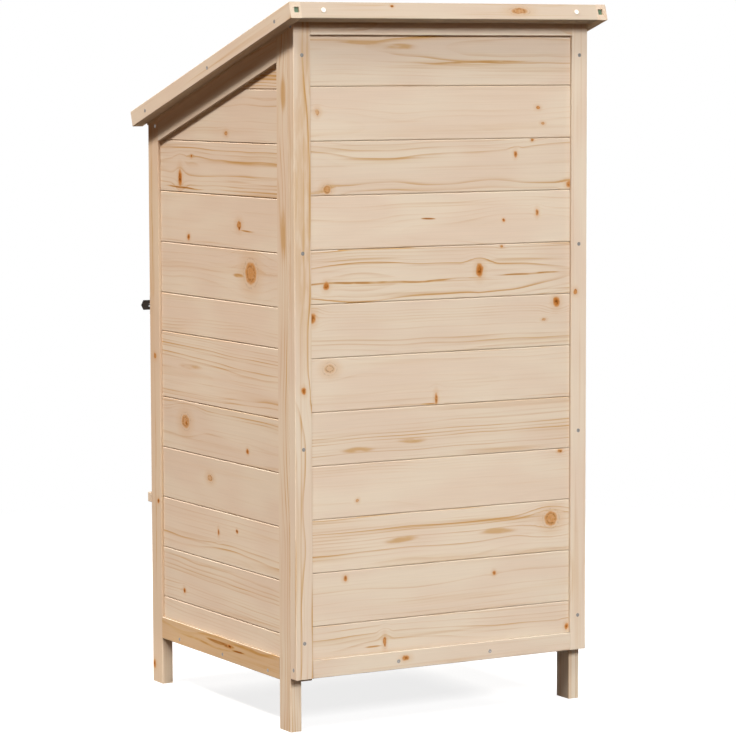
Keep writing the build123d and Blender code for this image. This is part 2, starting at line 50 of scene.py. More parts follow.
# Camera, fitted to the photograph
IMAGE_SIDE = 736
FOCAL_PIXELS = 3126.4
CAMERA_PLACE_MM = (2652.1, 4654.4, 1069.2)
CAMERA_TURN = 29.732  # from looking along -Y
CAMERA_TILT = -5.410
CAMERA_ROLL = 0.173
CAMERA_REACH = 200.0
SENSOR_MM = 36.0

# Shed sizes that the grain follows
ROOF_SLOPE = 17.0
BOARD_COVER = 0.0873
BAR_COVER = 0.03  # stands in for the cover on a bar, which is one piece
SIDE_COVERS = (0.088, 0.088, 0.088, 0.088, 0.115, 0.067, 0.088, 0.088, 0.088, 0.088)
SIDE_FIRST_SEAM = 0.1556
BACK_FIRST_SEAM = 0.1728
DOOR_FIRST_SEAM = 0.165
BACK_SEAMS = 11
DOOR_SEAMS = 9
FLOOR_SEAMS = 5
ROOF_SEAMS = 6


def srgb(red, green, blue):
    """A colour as it looks on a screen, 0 to 255, as linear red, green, blue and alpha."""

    def linear(level):
        level /= 255
        if level <= 0.04045:
            return level / 12.92
        return ((level + 0.055) / 1.055) ** 2.4

    return (linear(red), linear(green), linear(blue), 1.0)


CREAM = srgb(228, 214, 194)
BLUSH = srgb(225, 207, 187)
AMBER = srgb(200, 157, 97)
RESIN = srgb(146, 80, 28)
KNOT_EDGE = srgb(210, 166, 112)
KNOT_MIDDLE = srgb(194, 120, 50)
KNOT_DARK = srgb(92, 54, 30)
KNOT_LINE = srgb(110, 64, 34)
WHITE = (1.0, 1.0, 1.0, 1.0)
BLACK = (0.0, 0.0, 0.0, 1.0)

# Knots: along the grain, across it, half-length, half-height, darkness.
# Millimetres, in the shed's own axes.
KNOTS = {
    "back_boards": (
        (-185, 1009, 4, 3, 0.4),
        (-195, 983, 4, 2, 0.25),
        (234, 1005, 4, 5, 0.2),
        (-141, 932, 3, 5, 0.6),
        (-174, 956, 3, 2, 0.45),
        (217, 881, 7, 7, 0.25),
        (-247, 881, 5, 6, 0.5),
        (-184, 835, 3, 5, 0.5),
        (-118, 823, 2.5, 2.5, 1.0),
        (-71, 742, 6, 10, 0.8),
        (219, 726, 5, 6, 0.7),
        (-114, 781, 3, 2, 0.4),
        (-223, 684, 6, 8, 0.8),
        (244, 675, 5, 8, 0.6),
        (-198, 655, 4, 2, 0.25),
        (13, 532, 3, 9, 0.5),
        (213, 592, 10, 8, 0.15),
        (-231, 431, 4, 3, 0.5),
        (163, 374, 3, 3, 0.25),
        (-213, 317, 13, 13, 0.28),
        (186, 248, 3.5, 4, 0.6),
        (-100, 233, 3, 3.5, 0.6),
        (112, 136, 3, 9, 0.4),
        (-245, 130, 3.5, 5, 0.7),
    ),
    "side_boards_right": (
        (19, 969, 6, 4, 0.25),
        (-110, 928, 3, 2.5, 0.8),
        (-154, 890, 6, 13, 0.8),
        (64, 817, 8, 7, 0.35),
        (64, 812, 3, 3, 0.9),
        (-123, 790, 5, 4.5, 0.7),
        (105, 740, 20, 19, 0.3),
        (-141, 472, 15, 12, 0.25),
        (-138, 470, 3, 4, 0.9),
        (89, 444, 4, 4, 0.7),
        (-49, 384, 10, 6, 0.2),
        (-19, 295, 3, 6, 0.5),
        (49, 305, 3, 3, 1.0),
        (-150, 177, 4, 4, 0.8),
    ),
    "side_boards_left": (
        (-90, 905, 5, 6, 0.6),
        (120, 760, 9, 9, 0.3),
        (-40, 560, 4, 4, 0.7),
        (150, 380, 6, 7, 0.5),
        (-130, 210, 3, 3, 0.9),
    ),
    "door_boards": (
        (-120, 900, 4, 5, 0.5),
        (90, 730, 8, 8, 0.3),
        (-60, 560, 3, 3, 0.9),
        (150, 390, 5, 7, 0.6),
        (-150, 215, 7, 6, 0.35),
    ),
    "floor_boards": (
        (-90, 110, 5, 5, 0.5),
        (130, -60, 8, 8, 0.3),
    ),
    "roof_boards": (
        (-150, 90, 6, 6, 0.4),
        (80, -120, 5, 6, 0.6),
    ),
    "back_bottom_rail": ((75, 106, 7, 4, 0.5),),
    "back_stile_left": ((700, -258, 5, 4, 0.4),),
    "back_stile_right": ((559, 264, 5, 4, 0.8),),
    "high_fascia": (
        (113, 1174, 3, 2, 0.9),
        (-128, 1168, 16, 5, 0.25),
    ),
    "side_bottom_rail_right": ((29, 107, 7, 3, 1.0),),
    "leg_front_right": (
        (577, -248, 5, 5, 0.4),
        (323, -240, 4, 4, 0.7),
        (31, -261, 7, 5, 0.6),
    ),
}

# Resin streaks and amber patches, with the same numbers as the knots
STREAKS = {
    "back_boards": (
        (80, 1110, 45, 8, 0.3),
        (150, 1118, 70, 5, 0.3),
        (-60, 1085, 160, 3, 0.35),
        (27, 828, 18, 2.0, 0.8),
        (120, 729, 270, 2.8, 0.5),
        (-170, 733, 100, 2.4, 0.5),
        (30, 527, 22, 2.0, 0.5),
        (161, 459, 42, 8, 0.3),
        (60, 467, 40, 7, 0.3),
        (80, 303, 46, 8, 0.3),
        (-107, 303, 50, 8, 0.3),
        (135, 130, 24, 2.2, 0.4),
    ),
    "side_boards_right": (
        (-140, 874, 90, 2.5, 0.7),
        (60, 735, 30, 5, 0.4),
        (95, 810, 35, 2.0, 0.5),
        (-120, 570, 60, 7, 0.25),
    ),
    "side_bottom_rail_right": (
        (-15, 110, 55, 4.0, 0.8),
        (25, 108, 26, 4.0, 1.0),
        (60, 102, 32, 2.5, 0.9),
        (-60, 100, 150, 3.0, 0.4),
        (110, 113, 120, 4.0, 0.4),
    ),
    "back_stile_right": ((880, 262, 420, 30, 0.2),),
    "leg_rear_right": (
        (810, 229, 62, 15, 0.3),
        (1036, 229, 44, 15, 0.3),
    ),
    "leg_front_right": (
        (330, -250, 260, 3.0, 0.25),
        (800, -255, 200, 3.0, 0.25),
    ),
}

# A piece made darker as painted shade, because it tilts up towards the lamps; and pieces with more amber
# in them
PAINTED_SHADE_TONES = {"high_fascia": 0.69}
WARMTHS = {
    "leg_front_right": 0.22,
    "leg_rear_right": 0.06,
    "side_bottom_rail_right": 0.6,
}

# How strongly the rings show, from the lowest board up, and on pieces not named here
FIGURES = {
    "back_boards": (0.65, 0.55, 1.0, 0.4, 0.75, 0.7, 0.6, 1.45, 0.5, 0.8, 0.45, 0.85),
    "side_boards_right": (0.4, 0.6, 0.7, 0.35, 0.7, 0.9, 0.5, 0.6, 0.5, 1.4, 0.6, 1.4),
    "side_boards_left": (0.5, 0.4, 0.9, 0.5, 1.2, 0.6, 0.5, 1.0, 0.5, 0.8, 0.6, 0.9),
    "door_boards": (0.5, 1.0, 0.45, 0.6, 1.2, 0.5, 0.8, 0.45, 0.9, 0.6),
    "floor_boards": (0.5, 0.8, 0.4, 0.6, 0.9, 0.5),
    "roof_boards": (0.6, 0.4, 0.8, 0.5, 0.7, 0.4, 0.9),
    "back_stile_left": (0.9,),
    "back_stile_right": (1.2,),
    "side_bottom_rail_right": (1.6,),
}
PLAIN_FIGURE = (0.8,)

# Places of the colour sockets on a mix node
MIX_FIRST = 6
MIX_SECOND = 7
MIX_RESULT = 2


class Graph:
    """A node tree, with short calls for the nodes used here."""

    def __init__(self, tree):
        self.tree = tree

    def add(self, kind, **settings):
        node = self.tree.nodes.new(kind)
        for key, value in settings.items():
            setattr(node, key, value)
        return node

    def put(self, socket, value):
        """Joins a node's output to a socket, or writes a constant in it."""
        if isinstance(value, bpy.types.NodeSocket):
            self.tree.links.new(value, socket)
        else:
            socket.default_value = value

    def length(self, vector):
        return self.vector("LENGTH", vector, (0, 0, 0), "Value")

    def math(self, operation, *values):
        node = self.add("ShaderNodeMath", operation=operation)
        for socket, value in zip(node.inputs, values):
            self.put(socket, value)
        return node.outputs[0]

    def vector(self, operation, first, second, output=0):
        node = self.add("ShaderNodeVectorMath", operation=operation)
        self.put(node.inputs[0], first)
        self.put(node.inputs[1], second)
        return node.outputs[output]

    def scale(self, vector, amount):
        node = self.add("ShaderNodeVectorMath", operation="SCALE")
        self.put(node.inputs[0], vector)
        self.put(node.inputs["Scale"], amount)
        return node.outputs[0]

    def split(self, vector):
        node = self.add("ShaderNodeSeparateXYZ")
        self.put(node.inputs[0], vector)
        return node.outputs

    def join(self, x, y, z):
        node = self.add("ShaderNodeCombineXYZ")
        for socket, value in zip(node.inputs, (x, y, z)):
            self.put(socket, value)
        return node.outputs[0]

    def noise(self, vector, scale=1.0, detail=2.0, output=0):
        node = self.add("ShaderNodeTexNoise")
        self.put(node.inputs["Vector"], vector)
        node.inputs["Scale"].default_value = scale
        node.inputs["Detail"].default_value = detail
        return node.outputs[output]

    def chance(self, number):
        """Three random numbers for a whole number."""
        node = self.add("ShaderNodeTexWhiteNoise", noise_dimensions="1D")
        self.put(node.inputs["W"], number)
        return self.split(node.outputs["Color"])

    def smooth(self, value, low, high, start=0.0, end=1.0):
        """Goes smoothly from start at low to end at high; low may be the larger."""
        node = self.add("ShaderNodeMapRange", interpolation_type="SMOOTHSTEP")
        for socket, number in zip(node.inputs, (value, low, high, start, end)):
            self.put(socket, number)
        return node.outputs[0]

    def ramp(self, value, stops, interpolation="LINEAR"):
        node = self.add("ShaderNodeValToRGB")
        node.color_ramp.interpolation = interpolation
        elements = node.color_ramp.elements
        while len(elements) < len(stops):
            elements.new(1.0)
        for element, (position, colour) in zip(elements, stops):
            element.position = position
            element.color = colour
        self.put(node.inputs[0], value)
        return node.outputs[0]

    def mix(self, amount, first, second):
        """The first colour where the amount is 0, the second where it is 1."""
        node = self.add("ShaderNodeMix", data_type="RGBA")
        self.put(node.inputs["Factor"], amount)
        self.put(node.inputs[MIX_FIRST], first)
        self.put(node.inputs[MIX_SECOND], second)
        return node.outputs[MIX_RESULT]

    def object_place(self):
        return self.add("ShaderNodeTexCoord").outputs["Object"]

    def attribute(self, name, output):
        node = self.add("ShaderNodeAttribute", attribute_type="OBJECT", attribute_name=name)
        return node.outputs[output]


class Shader(Graph):
    """One material's node tree and the surface in it."""

    def __init__(self, name):
        self.material = bpy.data.materials.new(name)
        self.material.use_nodes = True
        super().__init__(self.material.node_tree)
        self.surface = self.tree.nodes["Principled BSDF"]

    def set(self, name, value):
        """Sets one of the surface's inputs."""
        self.put(self.surface.inputs[name], value)

    def bump(self, height, strength, distance):
        node = self.add("ShaderNodeBump")
        node.inputs["Strength"].default_value = strength
        node.inputs["Distance"].default_value = distance
        self.put(node.inputs["Height"], height)
        self.set("Normal", node.outputs[0])


# Planed pine
# A pair of numbers is a fade: where it starts and where it is full. Two more are its levels there.

AXES = "XYZ"
MIDDLE_GREY = (0.5, 0.5, 0.5)
SEEDS_PER_NODE = 16  # more than the boards in any one wall
SEED_ROWS = 7.3  # how far apart in the noise two seeds are
SEED_DRIFTS = 5.13
SEED_RINGS = 41

# Growth rings round the middle of the tree, which lies behind the board
RING_WIDTH = 0.0036
TREE_DEPTH = 0.022  # least depth of the tree's middle
TREE_SCATTER = 0.04  # how much deeper it may lie
TREE_ASIDE = 1.5  # how far aside it may lie, in covers
TREE_WANDER = 0.03  # how far it wanders along the board
ASIDE_RATE = 1.5  # wanderings in a metre
DEPTH_RATE = 2.1
DEPTH_ROW = 7.7  # keeps the two wanderings apart in the noise
SWAY = 0.003  # small waves of the rings
SWAY_ALONG = 8  # waves in a metre
SWAY_ACROSS = 30
WIDE_LATE = (0.1, 0.9)  # part of a ring in which late wood comes in
THIN_LATE = (0.55, 0.9)
LATE_END = (1.0, 0.92)
WIDE_SHARE = 0.4  # of the late wood that comes in slowly
FAINTEST = 0.15  # strength of the faintest ring
FACE_ON = 0.25  # strength of a ring that lies in the face of the board
FACE_TILT = 0.4  # past this a ring is at full strength

# Other grain: noise cells in a metre along, across and through the grain
PATCH_CELLS = 9.0
PATCHES = (0.2, 0.75, 0.45, 1.0)
LINE_CELLS = (3.5, 260, 260)
LINES = (0.5, 0.8)
ZONE_CELLS = (2.2, 60, 60)
ZONES = (0.52, 0.75)
EXTRA_LATE = 0.35  # late wood that lines and zones add
FIBRE_CELLS = (14, 700, 700)
FIBRE_TONE = 0.1
LEAST_TONE = 0.93
BOARD_TONE = 0.04
CLOUD_CELLS = 5.0
CLOUD_ACROSS = 3  # clouds are this much longer than high
CLOUDS = (0.35, 0.65)

# Knots; an edge is a fade in half-lengths and half-heights of the knot
PALE_KNOT = 0.42  # paler knots than this show rings, darker ones a dark middle
PALE_EDGE = (1.15, 0.8)
PALE_RINGS = (0.4, 1.0)
PALE_RINGS_STRENGTH = 0.45
PALE_RINGS_EDGE = (1.5, 1.0)
PALE_TURNS = 9  # ring phase in a half-length, in radians
PALE_UNEVEN = 4  # how much the mottle shifts that phase
DARK_EDGE = (1.55, 0.2)
DARK_MIDDLE_EDGE = (0.9, 0.0)
DARK_LEAST = 0.3  # strength of the dark middle, and how much more a black knot has
DARK_MORE = 0.6
HALO_EDGE = (3.0, 0.9)
HALO_STRENGTH = 0.3
BEND = 0.85  # how strongly a knot pushes the grain aside
BEND_LENGTH = 7.0  # how far that reaches, in half-lengths
BEND_HEIGHT = 4.0  # and in half-heights
MOTTLE_CELLS = 230.0
MOTTLE_LINES = (0.36, 0.56)
MOTTLE_LEAST = 0.45
MOTTLE_MORE = 0.9
KNOT_FULL = 0.3  # darkness at which a knot covers the grain
KNOT_STOPS = ((0.0, KNOT_EDGE), (0.65, KNOT_MIDDLE), (1.0, KNOT_DARK))

# Resin
STREAK_EDGE = (1.0, 0.35)
BREAK_CELLS = (25, 130, 130)
BREAKS = (0.3, 0.6, 0.5, 1.0)
RESIN_FULL = 0.45
RESIN_STOPS = ((0.3, AMBER), (1.0, RESIN))

# Uneven outlines: noise cells in a metre, detail and reach
KNOT_STRAY = (100.0, 2.0, 0.005)
STREAK_STRAY = (9.0, 1.0, 0.012)

# Edges that face straight up are darker, a painted shade against the strong light from above, and end
# grain is darker; edges that face up are also less amber, a painted pale highlight
PAINTED_TOP_SHADE = 0.48
EDGE_UP = (0.75, 1.0)
END_DULL = 0.22
END_ON = (0.6, 0.95)
PAINTED_PALE_TOP = (0.6, 0.2)

WOOD_ROUGH = 0.5
FIBRE_ROUGH = 0.2
FIBRE_BUMP = 0.12
FIBRE_HEIGHT = 0.0006


def grain_axes(shader, place, along, across, slope):
    """How far a point is along, across and through the grain from the middle of its piece."""
    local = shader.vector("SUBTRACT", place, shader.attribute("grain_middle", "Vector"))
    if slope:
        turn = shader.add("ShaderNodeVectorRotate", rotation_type="X_AXIS")
        shader.put(turn.inputs["Vector"], local)
        turn.inputs["Angle"].default_value = -math.radians(slope)
        local = turn.outputs[0]
    axes = dict(zip(AXES, shader.split(local)))
    through = next(axis for axis in AXES if axis not in (along, across))
    return axes[along], axes[across], axes[through]


def number_boards(shader, height, seams, cover):
    """The number of seams below a point, and the height from its board's middle."""
    board = 0.0
    for seam in seams:
        board = shader.math("ADD", board, shader.math("GREATER_THAN", height, seam))
    middle = shader.math("MULTIPLY_ADD", board, cover, seams[0] - cover / 2)
    return board, shader.math("SUBTRACT", height, middle)


def board_figure(shader, board, figure):
    """The ring strength of each board, read from a stepped ramp."""
    count = len(figure)
    stops = [(step / count, (level, level, level, 1.0)) for step, level in enumerate(figure)]
    middle = shader.math("DIVIDE", shader.math("ADD", board, 0.5), count)
    return shader.ramp(middle, stops, "CONSTANT")


def away_from(shader, spot, centre, half_length, half_height):
    """Distance from the middle of a knot or streak, 1 on its edge."""
    away = shader.vector("SUBTRACT", spot, centre)
    away = shader.vector("MULTIPLY", away, (1 / half_length, 1 / half_height, 0))
    return shader.length(away)


def stray(shader, spot, flat, cells, detail, reach):
    """A place moved a little at random, which makes the outlines drawn from it uneven."""
    shift = shader.vector("SUBTRACT", shader.noise(flat, cells, detail, "Color"), MIDDLE_GREY)
    return shader.vector("ADD", spot, shader.scale(shift, reach))


def pale_knot(shader, distance, darkness, mottle):
    """How dark a pale knot is, and the rings in it."""
    inside = shader.smooth(distance, *PALE_EDGE, end=darkness)
    turns = shader.math("MULTIPLY", distance, PALE_TURNS)
    turns = shader.math("MULTIPLY_ADD", mottle, PALE_UNEVEN, turns)
    rings = shader.smooth(shader.math("SINE", turns), *PALE_RINGS, end=PALE_RINGS_STRENGTH)
    return inside, shader.math("MULTIPLY", rings, shader.smooth(distance, *PALE_RINGS_EDGE))


def dark_knot(shader, distance, darkness):
    """How dark a dark knot is, softly to its edge, and its darker middle."""
    inside = shader.smooth(distance, *DARK_EDGE, end=darkness)
    return inside, shader.smooth(distance, *DARK_MIDDLE_EDGE, end=DARK_LEAST + DARK_MORE * darkness)


def draw_knots(shader, spot, knots, mottle):
    """How dark the knots are, the lines in them, a soft halo, and how far the grain is pushed aside."""
    core = 0.0
    lines = 0.0
    halo = 0.0
    bend = 0.0
    for centre, half_length, half_height, darkness in knots:
        distance = away_from(shader, spot, centre, half_length, half_height)
        around = away_from(shader, spot, centre, BEND_LENGTH * half_length, BEND_HEIGHT * half_height)
        aside = shader.split(shader.vector("SUBTRACT", spot, centre))[1]
        bend = shader.math("MULTIPLY_ADD", shader.smooth(around, 1.0, 0.0, end=BEND), aside, bend)
        halo = shader.math("MAXIMUM", halo, shader.smooth(distance, *HALO_EDGE))
        if darkness < PALE_KNOT:
            inside, line = pale_knot(shader, distance, darkness, mottle)
        else:
            inside, line = dark_knot(shader, distance, darkness)
        core = shader.math("MAXIMUM", core, inside)
        lines = shader.math("MAXIMUM", lines, line)
    lines = shader.math("MULTIPLY", lines, shader.smooth(mottle, *MOTTLE_LINES))
    level = shader.math("MULTIPLY_ADD", mottle, MOTTLE_MORE, MOTTLE_LEAST)
    return shader.math("MULTIPLY", core, level), lines, halo, bend


def draw_streaks(shader, spot, streaks, broken):
    """Resin streaks with soft ends, 0 to 1."""
    amount = 0.0
    for centre, half_length, half_height, darkness in streaks:
        distance = away_from(shader, spot, centre, half_length, half_height)
        amount = shader.math("MAXIMUM", amount, shader.smooth(distance, *STREAK_EDGE, end=darkness))
    return shader.math("MULTIPLY", amount, shader.smooth(broken, *BREAKS))


def stretch(shader, grain, cells, seed):
    """A place in the grain, each direction times its own number, elsewhere for each seed."""
    run, rise, through = (shader.math("MULTIPLY", part, count) for part, count in zip(grain, cells))
    return shader.join(run, shader.math("MULTIPLY_ADD", seed, SEED_ROWS, rise), through)


def tree_middle(shader, grain, seed, row, cover):
    """How far aside and how deep the middle of the tree lies from a point, and a random tone."""
    run, rise, through = grain
    first, second, tone = shader.chance(seed)
    aside_drift = shader.noise(shader.join(shader.math("MULTIPLY", run, ASIDE_RATE), row, 0))
    depth_drift = shader.noise(shader.join(shader.math("MULTIPLY", run, DEPTH_RATE), row, DEPTH_ROW))
    aside = shader.math("MULTIPLY_ADD", shader.math("SUBTRACT", first, 0.5), TREE_ASIDE * cover, rise)
    aside = shader.math("MULTIPLY_ADD", shader.math("SUBTRACT", aside_drift, 0.5), TREE_WANDER, aside)
    depth = shader.math("MULTIPLY_ADD", second, TREE_SCATTER, through)
    depth = shader.math("MULTIPLY_ADD", depth_drift, TREE_WANDER, depth)
    return aside, shader.math("ADD", depth, TREE_DEPTH), tone


def draw_rings(shader, grain, seed, cover):
    """Growth rings cut by the board: dark late wood, 0 to 1, and a random tone."""
    run, rise, _ = grain
    row = shader.math("MULTIPLY", seed, SEED_DRIFTS)
    aside, depth, tone = tree_middle(shader, grain, seed, row, cover)
    radius = shader.length(shader.join(aside, depth, 0))
    waves = (shader.math("MULTIPLY", run, SWAY_ALONG), shader.math("MULTIPLY", rise, SWAY_ACROSS), row)
    sway = shader.noise(shader.join(*waves), detail=1.0)
    radius = shader.math("MULTIPLY_ADD", sway, SWAY, radius)
    rings = shader.math("DIVIDE", radius, RING_WIDTH)
    phase = shader.math("FRACT", rings)
    number = shader.math("MULTIPLY_ADD", seed, SEED_RINGS, shader.math("FLOOR", rings))
    boldness = shader.math("POWER", shader.chance(number)[0], 2.0)
    boldness = shader.math("MULTIPLY_ADD", boldness, 1.0 - FAINTEST, FAINTEST)
    wide = shader.math("MULTIPLY", shader.smooth(phase, *WIDE_LATE), WIDE_SHARE)
    late = shader.math("MULTIPLY_ADD", shader.smooth(phase, *THIN_LATE), 1.0 - WIDE_SHARE, wide)
    late = shader.math("MULTIPLY", late, shader.smooth(phase, *LATE_END))
    late = shader.math("MULTIPLY", late, boldness)
    tilt = shader.math("DIVIDE", shader.math("ABSOLUTE", aside), radius)
    return shader.math("MULTIPLY", late, shader.smooth(tilt, 0.0, FACE_TILT, FACE_ON, 1.0)), tone


def draw_late_wood(shader, grain, flat, seed, bend, cover):
    """Rings in patches, fine lines and broad zones together, and a random tone."""
    run, rise, through = grain
    bent = (run, shader.math("SUBTRACT", rise, bend), through)
    late, tone = draw_rings(shader, bent, seed, cover)
    patches = shader.noise(flat, PATCH_CELLS, 1.0)
    late = shader.math("MULTIPLY", late, shader.smooth(patches, *PATCHES))
    for cells, fade in ((LINE_CELLS, LINES), (ZONE_CELLS, ZONES)):
        more = shader.noise(stretch(shader, grain, cells, seed), detail=1.0)
        late = shader.math("MULTIPLY_ADD", shader.smooth(more, *fade), EXTRA_LATE, late)
    return late, tone


def painted_top_shade_and_end_grain(shader, along):
    """1 on most faces, less on edges that face up, which is painted shade, and on end grain; and how far a
    face looks up.
    """
    facing = shader.split(shader.add("ShaderNodeTexCoord").outputs["Normal"])
    up = shader.math("MAXIMUM", facing[AXES.index("Z")], 0.0)
    end = shader.math("ABSOLUTE", facing[AXES.index(along)])
    # painted shade: faces that look straight up are made darker
    top_shade_level = shader.smooth(up, *EDGE_UP, 1.0, 1.0 - PAINTED_TOP_SHADE)
    end_level = shader.smooth(end, *END_ON, 1.0, 1.0 - END_DULL)
    return shader.math("MULTIPLY", top_shade_level, end_level), up


def colour_grain(shader, grain, seed, late, up):
    """Pale wood in two shades, with amber in its late wood and all through a warm piece, except on faces
    that look up, which are left paler as a painted highlight.
    """
    run, rise, _ = grain
    cloud_place = shader.join(run, shader.math("MULTIPLY", rise, CLOUD_ACROSS), seed)
    clouds = shader.noise(cloud_place, CLOUD_CELLS, 1.0)
    colour = shader.mix(shader.smooth(clouds, *CLOUDS), CREAM, BLUSH)
    warmth = shader.attribute("grain_warmth", "Fac")
    # painted highlight: a warm piece loses its amber on faces that look up
    warmth = shader.math("MULTIPLY", warmth, shader.smooth(up, *PAINTED_PALE_TOP))
    colour = shader.mix(warmth, colour, AMBER)
    return shader.mix(shader.smooth(late, 0.0, 1.0), colour, AMBER)


def colour_marks(shader, colour, resin, core, halo, lines):
    """Resin and knots over the grain."""
    colour = shader.mix(shader.smooth(resin, 0.0, RESIN_FULL), colour, shader.ramp(resin, RESIN_STOPS))
    colour = shader.mix(shader.math("MULTIPLY", halo, HALO_STRENGTH), colour, KNOT_EDGE)
    colour = shader.mix(shader.smooth(core, 0.0, KNOT_FULL), colour, shader.ramp(core, KNOT_STOPS))
    return shader.mix(lines, colour, KNOT_LINE)


def wood(name, along, across, seams, cover, slope, figure, knots, streaks):
    """Pine with its grain along one axis; with seams, each board between them gets its own rings."""
    shader = Shader(name)
    place = shader.object_place()
    places = dict(zip(AXES, shader.split(place)))
    run, rise, through = grain_axes(shader, place, along, across, slope)
    seed = shader.math("MULTIPLY", shader.attribute("grain_seed", "Fac"), SEEDS_PER_NODE)
    strength = figure[0]
    if seams:
        board, rise = number_boards(shader, places[across], seams, cover)
        strength = board_figure(shader, board, figure)
        seed = shader.math("ADD", seed, board)
    grain = (run, rise, through)
    flat = shader.join(run, rise, seed)

    # Knots sit on their own board, because the seed is added to the distance across the grain
    spot = shader.join(places[along], shader.math("ADD", places[across], seed), 0)
    mottle = shader.noise(flat, MOTTLE_CELLS)
    broken = shader.noise(stretch(shader, grain, BREAK_CELLS, seed))
    core, lines, halo, bend = draw_knots(shader, stray(shader, spot, flat, *KNOT_STRAY), knots, mottle)
    resin = draw_streaks(shader, stray(shader, spot, flat, *STREAK_STRAY), streaks, broken)

    late, tone = draw_late_wood(shader, grain, flat, seed, bend, cover)
    late = shader.math("MULTIPLY", late, strength)
    top_shade_and_end_grain, up = painted_top_shade_and_end_grain(shader, along)
    colour = colour_grain(shader, grain, seed, late, up)
    colour = colour_marks(shader, colour, resin, core, halo, lines)

    fibre = shader.noise(stretch(shader, grain, FIBRE_CELLS, seed), detail=3.0)
    level = shader.math("MULTIPLY_ADD", fibre, FIBRE_TONE, LEAST_TONE)
    level = shader.math("MULTIPLY_ADD", tone, BOARD_TONE, level)
    # painted shade: the high fascia, which tilts up, is darkened
    level = shader.math("MULTIPLY", level, shader.attribute("grain_tone", "Fac"))
    # painted shade on faces that look up, and darker end grain
    level = shader.math("MULTIPLY", level, top_shade_and_end_grain)
    shader.set("Base Color", shader.scale(colour, level))
    shader.set("Roughness", shader.math("MULTIPLY_ADD", fibre, FIBRE_ROUGH, WOOD_ROUGH))
    shader.set("Specular IOR Level", 0.0)
    shader.bump(fibre, FIBRE_BUMP, FIBRE_HEIGHT)
    return shader.material


# Other finishes


def felt(name):
    """Green mineral roofing felt."""
    shader = Shader(name)
    place = shader.object_place()
    grit = shader.noise(place, scale=900.0)
    wear = shader.noise(place, scale=14.0, detail=3.0)
    stops = ((0.3, srgb(26, 40, 29)), (0.5, srgb(52, 74, 54)), (0.7, srgb(92, 112, 90)))
    level = shader.smooth(wear, low=0.2, high=0.8, start=0.8, end=1.15)
    shader.set("Base Color", shader.scale(shader.ramp(grit, stops), level))
    shader.set("Roughness", 0.95)
    shader.bump(grit, strength=0.5, distance=0.0008)
    return shader.material


def painted_steel(name):
    """Satin black paint with a slight orange peel."""
    shader = Shader(name)
    place = shader.object_place()
    peel = shader.noise(place, scale=700.0)
    dust = shader.noise(place, scale=60.0, detail=3.0)
    stops = ((0.3, srgb(24, 24, 25)), (0.75, srgb(40, 40, 41)))
    shader.set("Base Color", shader.ramp(dust, stops))
    shader.set("Roughness", shader.smooth(dust, low=0.3, high=0.7, start=0.35, end=0.5))
    shader.bump(peel, strength=0.1, distance=0.0003)
    return shader.material


def zinc(name):
    """Zinc plated screws."""
    shader = Shader(name)
    spangle = shader.noise(shader.object_place(), scale=800.0)
    stops = ((0.3, srgb(120, 117, 114)), (0.7, srgb(168, 164, 160)))
    shader.set("Base Color", shader.ramp(spangle, stops))
    shader.set("Roughness", shader.smooth(spangle, low=0.3, high=0.7, start=0.3, end=0.5))
    shader.set("Metallic", 1.0)
    return shader.material


def plastic(name, dark, light):
    """Matte moulded plastic."""
    shader = Shader(name)
    mottle = shader.noise(shader.object_place(), scale=300.0)
    shader.set("Base Color", shader.ramp(mottle, ((0.3, dark), (0.7, light))))
    shader.set("Roughness", shader.smooth(mottle, low=0.3, high=0.7, start=0.5, end=0.65))
    return shader.material


# Which finish goes where


def even_seams(first, count, cover=BOARD_COVER):
    return [first + step * cover for step in range(count)]


def uneven_seams(first, covers):
    places = [first]
    for cover in covers:
        places.append(places[-1] + cover)
    return places


def dress(material, names):
    for name in names:
        for slot in nodes[name].material_slots:
            slot.material = material


def placed(table, names, seams):
    """The knots or streaks of some pieces, in metres, each moved to its own board."""
    found = []
    for name in names:
        seed = SEEDS_PER_NODE * nodes[name]["grain_seed"]
        for along, across, half_length, half_height, darkness in table.get(name, ()):
            board = sum(across * MM > seam for seam in seams)
            centre = (along * MM, across * MM + seed + board, 0)
            found.append((centre, half_length * MM, half_height * MM, darkness))
    return found


def timber(names, along, across, seams=(), cover=BAR_COVER, slope=0.0):
    """Gives some pieces the same wood, cut from different trees."""
    for name in names:
        low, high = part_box(name)
        nodes[name]["grain_middle"] = list((low + high) / 2)
        nodes[name]["grain_seed"] = float(sorted(nodes).index(name))
        nodes[name]["grain_tone"] = PAINTED_SHADE_TONES.get(name, 1.0)
        nodes[name]["grain_warmth"] = WARMTHS.get(name, 0.0)
    figure = FIGURES.get(names[0], PLAIN_FIGURE)
    knots = placed(KNOTS, names, seams)
    streaks = placed(STREAKS, names, seams)
    dress(wood("pine_" + names[0], along, across, seams, cover, slope, figure, knots, streaks), names)


def pair(name):
    return [name + "_left", name + "_right"]


back_seams = even_seams(BACK_FIRST_SEAM, BACK_SEAMS)
door_seams = even_seams(DOOR_FIRST_SEAM, DOOR_SEAMS)
side_seams = uneven_seams(SIDE_FIRST_SEAM, SIDE_COVERS)
floor_seams = even_seams(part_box("floor_boards")[0].y + BOARD_COVER, FLOOR_SEAMS)
roof_cover = BOARD_COVER * math.cos(math.radians(ROOF_SLOPE))
roof_seams = even_seams(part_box("roof_boards")[0].y + roof_cover, ROOF_SEAMS, roof_cover)

